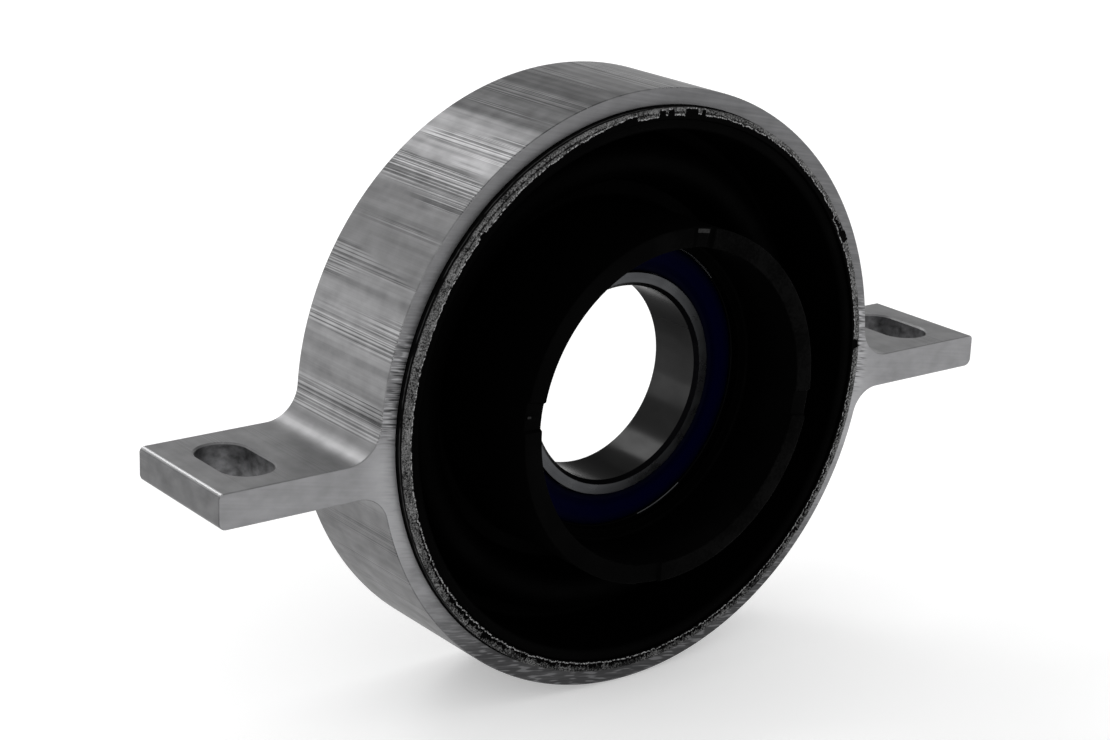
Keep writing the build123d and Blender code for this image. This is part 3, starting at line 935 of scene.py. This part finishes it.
# Pressed steel: dull grey, drawn lengthwise by the die, with lines about 0.8 mm apart.
pressed_steel, tree, place = start_finish("pressed_steel")
draw_at = add(tree, "ShaderNodeMapping", {"Vector": place, "Scale": per_mm(0.8, 6, 0.8)})
draw_lines = add(tree, "ShaderNodeTexNoise", {"Vector": draw_at, "Scale": 1.0, "Detail": 3.0})
cup_grey = add(
    tree, "ShaderNodeMix", {0: draw_lines, 6: linear("303032"), 7: linear("5c5c5e")}, data_type="RGBA"
).outputs[2]
cup_bump = add(tree, "ShaderNodeBump", {"Height": draw_lines, "Distance": 0.03 * MM, "Strength": 0.5})
pressed = add(
    tree,
    "ShaderNodeBsdfPrincipled",
    {"Base Color": cup_grey, "Metallic": 1.0, "Roughness": 0.4, "Normal": cup_bump},
)
add(tree, "ShaderNodeOutputMaterial", {"Surface": pressed})

carrier_section = rounded(
    [
        (carrier_lip_r, carrier_front_y),
        (carrier_r, carrier_front_y),
        (carrier_r, carrier_back_y),
        (race_r, carrier_back_y),
        (race_r, bearing_front_y),
        (carrier_lip_r, bearing_front_y),
    ],
    [0.25, carrier_bend_r, 0.15, 0.15, 0.5, 0.15],
    steps=5,
)
carrier = turned("carrier_cup", carrier_section, ring_steps, pressed_steel)
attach(carrier, "bracket")
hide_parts("bearing_carrier")

# Bearing races. The real ones are through-hardened bearing steel. The faces, bore and outside are ground.
# Grinding leaves fine rings about the axis, and the chamfers keep the dark scale of the hardening.
bore_r = 17.5
bearing_mid_y = -0.6
groove_radius = 3.18
inner_groove_r = 19.46
outer_groove_r = 25.54
inner_shoulder_r = 20.66
outer_shoulder_r = 24.34
land_r = 20.03
seat_r = 25.7
shoulder_half = 4.3
bore_chamfer = 0.7
race_corner = 0.6
land_corner = 0.12

# Ground bearing steel: dark, smooth and faintly ringed. The real rings are a few hundredths of a millimetre
# apart, and are drawn 0.25 mm apart so that they show. Only the radius and y count in their coordinates.
ground_steel, tree, place = start_finish("ground_bearing_steel")
along = add(tree, "ShaderNodeSeparateXYZ", {0: place}).outputs["Y"]
radius = off_axis(tree, place)
ring_place = add(tree, "ShaderNodeCombineXYZ", {"X": radius, "Y": along})
ring_at = add(tree, "ShaderNodeMapping", {"Vector": ring_place, "Scale": per_mm(0.25, 0.25, 1)})
rings = add(tree, "ShaderNodeTexNoise", {"Vector": ring_at, "Scale": 1.0, "Detail": 2.0})
touch_at = add(tree, "ShaderNodeMapping", {"Vector": place, "Scale": per_mm(4, 4, 4), "Location": (7, 7, 1)})
touches = add(tree, "ShaderNodeTexNoise", {"Vector": touch_at, "Scale": 1.0, "Detail": 4.0})
tone = add(tree, "ShaderNodeMath", {0: rings, 1: 0.6, 2: -0.05}, operation="MULTIPLY_ADD")
tone = add(tree, "ShaderNodeMath", {0: touches, 1: 0.5, 2: tone}, operation="MULTIPLY_ADD")
race_grey = add(
    tree, "ShaderNodeMix", {0: tone, 6: linear("3a3b3d"), 7: linear("565759")}, data_type="RGBA"
).outputs[2]
race_gloss = add(
    tree,
    "ShaderNodeMapRange",
    {"Value": touches, "From Min": 0.35, "From Max": 0.65, "To Min": 0.34, "To Max": 0.24},
)
race_bump = add(tree, "ShaderNodeBump", {"Height": rings, "Distance": 0.01 * MM, "Strength": 0.5})
ground = add(
    tree,
    "ShaderNodeBsdfPrincipled",
    {"Base Color": race_grey, "Metallic": 1.0, "Roughness": race_gloss, "Normal": race_bump},
)
add(tree, "ShaderNodeOutputMaterial", {"Surface": ground})

# Honed bearing steel: the bore is darker and smoother than the faces, so that it mirrors lamps with a clear
# edge. An oily film scatters some of the light, so its dark places are a plain grey.
honed_steel, tree, place = start_finish("honed_bearing_steel")
hone_at = add(tree, "ShaderNodeMapping", {"Vector": place, "Scale": per_mm(3, 6, 3), "Location": (2, 1, 7)})
honing = add(tree, "ShaderNodeTexNoise", {"Vector": hone_at, "Scale": 1.0, "Detail": 4.0})
bore_grey = add(
    tree, "ShaderNodeMix", {0: honing, 6: linear("212121"), 7: linear("303030")}, data_type="RGBA"
).outputs[2]
bore_gloss = add(
    tree,
    "ShaderNodeMapRange",
    {"Value": honing, "From Min": 0.35, "From Max": 0.65, "To Min": 0.2, "To Max": 0.15},
)
honed = add(
    tree,
    "ShaderNodeBsdfPrincipled",
    {
        "Base Color": bore_grey,
        "Metallic": 0.88,
        "Roughness": bore_gloss,
        "Specular Tint": (0.33, 0.33, 0.33, 1),
    },
)
add(tree, "ShaderNodeOutputMaterial", {"Surface": honed})

# Scale from hardening: a dull, nearly black grey on the unground chamfers, and painted shade on the outer
# race's front face.
scale_and_shade_steel, tree, place = start_finish("hardened_scale_and_painted_shade")
scale_at = add(tree, "ShaderNodeMapping", {"Vector": place, "Scale": per_mm(0.5, 0.5, 0.5)})
scale = add(tree, "ShaderNodeTexNoise", {"Vector": scale_at, "Scale": 1.0, "Detail": 3.0})
scale_grey = add(
    tree, "ShaderNodeMix", {0: scale, 6: linear("050506"), 7: linear("0e0e10")}, data_type="RGBA"
).outputs[2]
scale_bump = add(tree, "ShaderNodeBump", {"Height": scale, "Distance": 0.02 * MM, "Strength": 0.5})
scaled = add(
    tree,
    "ShaderNodeBsdfPrincipled",
    {"Base Color": scale_grey, "Metallic": 1.0, "Roughness": 0.45, "Normal": scale_bump},
)
add(tree, "ShaderNodeOutputMaterial", {"Surface": scaled})


def groove(bottom_r, shoulder_r, side):
    """A race's ball groove as (radius, y) points, front to back. side is 1 on the inner race, else -1."""
    middle_r = bottom_r + side * groove_radius
    reach = math.degrees(math.acos(abs(middle_r - shoulder_r) / groove_radius))
    start = 180 + reach if side == 1 else -reach
    return arc(middle_r, bearing_mid_y, groove_radius, start, start - side * 2 * reach, 16)


inner_section = (
    [
        (bore_r, bearing_front_y + bore_chamfer),
        (bore_r + bore_chamfer, bearing_front_y),
        (land_r - land_corner, bearing_front_y),
        (land_r, bearing_front_y + land_corner),
        (land_r, bearing_mid_y - shoulder_half),
        (inner_shoulder_r, bearing_mid_y - shoulder_half),
    ]
    + groove(inner_groove_r, inner_shoulder_r, 1)
    + [
        (inner_shoulder_r, bearing_mid_y + shoulder_half),
        (land_r, bearing_mid_y + shoulder_half),
        (land_r, bearing_back_y - land_corner),
        (land_r - land_corner, bearing_back_y),
        (bore_r + bore_chamfer, bearing_back_y),
        (bore_r, bearing_back_y - bore_chamfer),
    ]
)
bore_face = len(inner_section) - 1
chamfers = (0, bore_face - 1)
inner_race = turned(
    "inner_race_ring",
    inner_section,
    ring_steps,
    ground_steel,
    scale_and_shade_steel,
    honed_steel,
    pick=lambda i, degrees: 1 if i in chamfers else 2 if i == bore_face else 0,
)
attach(inner_race, "inner_ring")
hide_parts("inner_race")

# Each end of the outer race has a groove that holds the seal's bead.
bead_inset = 0.9
bead_front_y = bearing_front_y + bead_inset
bead_rear_y = bearing_back_y - bead_inset
bead_half = 0.25
bead_r = 25.95
seat_corner = 0.1
outer_section = (
    [
        (seat_r, bearing_front_y + seat_corner),
        (seat_r, bead_front_y - bead_half),
        (bead_r, bead_front_y - bead_half),
        (bead_r, bead_front_y + bead_half),
        (seat_r, bead_front_y + bead_half),
        (seat_r, bearing_mid_y - shoulder_half),
        (outer_shoulder_r, bearing_mid_y - shoulder_half),
    ]
    + groove(outer_groove_r, outer_shoulder_r, -1)
    + [
        (outer_shoulder_r, bearing_mid_y + shoulder_half),
        (seat_r, bearing_mid_y + shoulder_half),
        (seat_r, bead_rear_y - bead_half),
        (bead_r, bead_rear_y - bead_half),
        (bead_r, bead_rear_y + bead_half),
        (seat_r, bead_rear_y + bead_half),
        (seat_r, bearing_back_y - seat_corner),
        (seat_r + seat_corner, bearing_back_y),
    ]
    + arc(race_r - race_corner, bearing_back_y - race_corner, race_corner, 90, 0, 5)
    + arc(race_r - race_corner, bearing_front_y + race_corner, race_corner, 0, -90, 5)
    + [(seat_r + seat_corner, bearing_front_y)]
)
# The front face takes the dark scale as painted shade, except where the rubber leaves at least this much of
# the carrier's edge bare.
unshaded_from = 0.3
front_face = len(outer_section) - 2
outer_race = turned(
    "outer_race_ring",
    outer_section,
    ring_steps,
    ground_steel,
    scale_and_shade_steel,
    pick=lambda i, degrees: 1 if i >= front_face and by_angle(bare_edge, degrees) < unshaded_from else 0,
)
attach(outer_race, "bracket")
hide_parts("outer_race")

# Seals. The real ones are blue nitrile rubber, moulded on a steel disc and snapped into the outer race.
# The moulding is smooth and slightly dished, with a thin lip that runs on the inner race.
lip_r = land_r + 0.07
seal_face_y = bearing_front_y + 0.2
seal_back_y = seal_face_y + 1.2
seal_hollow = 0.12
seal_lean = 0.35
lip_width = 0.9
lip_root = 1.1
dish_start = 2.0
dish_end = 1.8
rim_width = 0.8

# Blue nitrile rubber: a very dark navy with a weak satin sheen, a little worn in patches 3 mm across. Both
# edges are painted darker as shade.
blue_rubber, tree, place = start_finish("blue_nitrile_rubber")
wear_at = add(tree, "ShaderNodeMapping", {"Vector": place, "Scale": per_mm(3, 3, 3)})
wear = add(tree, "ShaderNodeTexNoise", {"Vector": wear_at, "Scale": 1.0, "Detail": 4.0})
radius = off_axis(tree, place)
inner_shade = add(tree, "ShaderNodeMapRange", {"Value": radius, "From Min": 20.2 * MM, "From Max": 22.6 * MM})
outer_shade = add(tree, "ShaderNodeMapRange", {"Value": radius, "From Min": 25.6 * MM, "From Max": 23.8 * MM})
away_from_shade = add(tree, "ShaderNodeMath", {0: inner_shade, 1: outer_shade}, operation="MINIMUM")
tone = add(tree, "ShaderNodeMath", {0: wear, 1: 0.5, 2: away_from_shade}, operation="MULTIPLY_ADD")
navy = add(tree, "ShaderNodeMapRange", {"Value": tone, "From Min": 0.15, "From Max": 1.3})
navy = add(
    tree, "ShaderNodeMix", {0: navy, 6: linear("00010a"), 7: linear("00001d")}, data_type="RGBA"
).outputs[2]
seal_gloss = add(
    tree,
    "ShaderNodeMapRange",
    {"Value": wear, "From Min": 0.35, "From Max": 0.65, "To Min": 0.55, "To Max": 0.42},
)
seal_bump = add(tree, "ShaderNodeBump", {"Height": wear, "Distance": 0.04 * MM, "Strength": 0.4})
nitrile = add(
    tree,
    "ShaderNodeBsdfPrincipled",
    {"Base Color": navy, "Roughness": seal_gloss, "Specular IOR Level": 0.015, "Normal": seal_bump},
)
add(tree, "ShaderNodeOutputMaterial", {"Surface": nitrile})

# The seal's front is flat over its lip and its rim and a little hollow between them.
seal_section = rounded(
    [
        (lip_r, seal_face_y + seal_lean),
        (lip_r + lip_width, seal_face_y),
        (lip_r + dish_start, seal_face_y + seal_hollow),
        (seat_r - dish_end, seal_face_y + seal_hollow),
        (seat_r - rim_width, seal_face_y),
        (seat_r, seal_face_y),
        (seat_r, bead_front_y - bead_half),
        (bead_r, bead_front_y - bead_half),
        (bead_r, bead_front_y + bead_half),
        (seat_r, bead_front_y + bead_half),
        (seat_r, seal_back_y),
        (lip_r + lip_root, seal_back_y),
        (lip_r, seal_face_y + 2 * seal_lean),
    ],
    [0.08, 0.6, 1.2, 1.2, 0.6, 0.45, 0, 0.1, 0.1, 0, 0.1, 0.1, 0.08],
    steps=4,
)
for side, name, node in ((1, "seal_disc_front", "seal_front"), (-1, "seal_disc_rear", "seal_rear")):
    section = [(r, bearing_mid_y + side * (y - bearing_mid_y)) for r, y in seal_section]
    seal = turned(name, section, ring_steps, blue_rubber)
    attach(seal, "bracket")
    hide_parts(node)

# Cage, rivets and balls. The cage is two ribbons of pressed low-carbon steel, domed over the balls and
# riveted between them. The balls are lapped bearing steel. The seals hide them all, and the CAD solids have
# the right shape.

# Pressed cage steel: warm grey with a soft sheen, drawn over the domes in patches about 1 mm across.
cage_steel, tree, place = start_finish("pressed_cage_steel")
dome_at = add(tree, "ShaderNodeMapping", {"Vector": place, "Scale": per_mm(0.9, 0.9, 0.9)})
domes = add(tree, "ShaderNodeTexNoise", {"Vector": dome_at, "Scale": 1.0, "Detail": 3.0})
cage_grey = add(
    tree, "ShaderNodeMix", {0: domes, 6: linear("8a8883"), 7: linear("b8b6b1")}, data_type="RGBA"
).outputs[2]
cage_bump = add(tree, "ShaderNodeBump", {"Height": domes, "Distance": 0.02 * MM, "Strength": 0.4})
pressed_cage = add(
    tree,
    "ShaderNodeBsdfPrincipled",
    {"Base Color": cage_grey, "Metallic": 1.0, "Roughness": 0.36, "Normal": cage_bump},
)
add(tree, "ShaderNodeOutputMaterial", {"Surface": pressed_cage})

# Lapped ball steel: a mirror with a thin film of grease, thicker in patches 2 mm across.
ball_steel, tree, place = start_finish("lapped_ball_steel")
film_at = add(tree, "ShaderNodeMapping", {"Vector": place, "Scale": per_mm(2, 2, 2)})
film = add(tree, "ShaderNodeTexNoise", {"Vector": film_at, "Scale": 1.0, "Detail": 3.0})
ball_grey = add(
    tree, "ShaderNodeMix", {0: film, 6: linear("b0b1b4"), 7: linear("cacbce")}, data_type="RGBA"
).outputs[2]
ball_gloss = add(
    tree,
    "ShaderNodeMapRange",
    {"Value": film, "From Min": 0.35, "From Max": 0.65, "To Min": 0.12, "To Max": 0.06},
)
lapped = add(
    tree, "ShaderNodeBsdfPrincipled", {"Base Color": ball_grey, "Metallic": 1.0, "Roughness": ball_gloss}
)
add(tree, "ShaderNodeOutputMaterial", {"Surface": lapped})
for name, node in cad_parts.items():
    if name.startswith(("cage", "ball")):
        node.data.materials.clear()
        node.data.materials.append(cage_steel if name.startswith("cage") else ball_steel)

# Camera, fitted to the photograph: 39 degrees to the left of the bearing's axis and 18 degrees above it.
# The lens and the small shift give the photograph's framing. The distance and the clipping are in metres.
camera_turn = math.radians(-38.6346)
camera_rise = math.radians(17.8849)
camera_roll = math.radians(2.4931)
camera_distance = 0.418347
focal_px = 2388.03
frame_px = 1110
frame_middle_px = (555, 370)
middle_px = (595.37, 374.20)

back = Vector(
    (
        math.sin(camera_turn) * math.cos(camera_rise),
        -math.cos(camera_turn) * math.cos(camera_rise),
        math.sin(camera_rise),
    )
)
level = Vector((math.cos(camera_turn), math.sin(camera_turn), 0))
upright = back.cross(level)
right = math.cos(camera_roll) * level + math.sin(camera_roll) * upright
up = math.cos(camera_roll) * upright - math.sin(camera_roll) * level
lens = bpy.data.cameras.new("camera")
lens.sensor_width = 36
lens.lens = focal_px / frame_px * lens.sensor_width
lens.shift_x = (frame_middle_px[0] - middle_px[0]) / frame_px
lens.shift_y = (middle_px[1] - frame_middle_px[1]) / frame_px
lens.clip_start = 0.01
camera = bpy.data.objects.new("camera", lens)
aim = Matrix((right, up, back)).transposed().to_4x4()
camera.matrix_world = Matrix.Translation(back * camera_distance) @ aim
scene.collection.objects.link(camera)
scene.camera = camera

# Floor. A plain pale sheet, with an even finish, just under the ring. It shows white to the camera, to metal
# and through openings, and it keeps the shadow.
floor_size = 3000.0
floor_gap = 0.2
pale_floor, tree, place = start_finish("pale_floor")
path = add(tree, "ShaderNodeLightPath")
seen = add(
    tree,
    "ShaderNodeMath",
    {0: path.outputs["Is Camera Ray"], 1: path.outputs["Is Glossy Ray"]},
    operation="MAXIMUM",
)
seen = add(tree, "ShaderNodeMath", {0: seen, 1: path.outputs["Is Transmission Ray"]}, operation="MAXIMUM")
matt = add(tree, "ShaderNodeBsdfDiffuse", {"Color": linear("f4f4f4")})
glow = add(tree, "ShaderNodeEmission", {"Color": (1, 1, 1, 1), "Strength": 0.3})
both = add(tree, "ShaderNodeAddShader", {0: matt, 1: glow})
choice = add(tree, "ShaderNodeMixShader", {0: seen, 1: matt, 2: both})
add(tree, "ShaderNodeOutputMaterial", {"Surface": choice})
shape = bmesh.new()
bmesh.ops.create_grid(shape, x_segments=1, y_segments=1, size=floor_size / 2 * MM)
bmesh.ops.translate(shape, verts=shape.verts, vec=(0, 0, -(ring_r + floor_gap) * MM))
floor = mesh_object("floor", shape, pale_floor)

# Room and lamps. Metal mirrors white walls all round at the height of the object, and a pale grey ceiling.
# A square lamp hangs behind the object, 40 degrees up, and a weaker one hangs in front. A wide, low one
# stands behind it on the left.
world = bpy.data.worlds.new("studio")
scene.world = world
world.use_nodes = True
tree = world.node_tree
tree.nodes.clear()
path = add(tree, "ShaderNodeLightPath")
place = add(tree, "ShaderNodeTexCoord").outputs["Generated"]
height = add(tree, "ShaderNodeSeparateXYZ", {0: place}).outputs["Z"]
rise = add(tree, "ShaderNodeMapRange", {"Value": height, "From Max": 0.3})
mirrored = add(
    tree, "ShaderNodeMix", {0: rise, 6: linear("ffffff"), 7: linear("d0d0d0")}, data_type="RGBA"
).outputs[2]
soft = add(tree, "ShaderNodeBackground", {"Color": linear("ffffff"), "Strength": 0.8})
shown = add(tree, "ShaderNodeBackground", {"Color": linear("ffffff"), "Strength": 1.0})
glossy = add(tree, "ShaderNodeBackground", {"Color": mirrored, "Strength": 1.0})
seen = add(
    tree,
    "ShaderNodeMath",
    {0: path.outputs["Is Camera Ray"], 1: path.outputs["Is Transmission Ray"]},
    operation="MAXIMUM",
)
first = add(tree, "ShaderNodeMixShader", {0: path.outputs["Is Glossy Ray"], 1: soft, 2: glossy})
second = add(tree, "ShaderNodeMixShader", {0: seen, 1: first, 2: shown})
add(tree, "ShaderNodeOutputWorld", {"Surface": second})


def lamp(name, place, width, height, power):
    """A rectangular area lamp that faces the object. Its place and size are in metres, its power in watts."""
    light = bpy.data.lights.new(name, "AREA")
    light.shape = "RECTANGLE"
    light.size = width
    light.size_y = height
    light.energy = power
    made = bpy.data.objects.new(name, light)
    made.location = place
    made.rotation_mode = "QUATERNION"
    made.rotation_quaternion = Vector(place).to_track_quat("Z", "Y")
    scene.collection.objects.link(made)


lamp("rear_lamp", (-0.06, 0.77, 0.66), 0.36, 0.36, 1.5)
lamp("left_lamp", (-0.66, 0.86, 0.13), 0.8, 0.36, 0.85)
lamp("front_lamp", (-0.3, -1.1, 0.5), 0.6, 0.6, 0.6)

scene.view_settings.view_transform = "Standard"
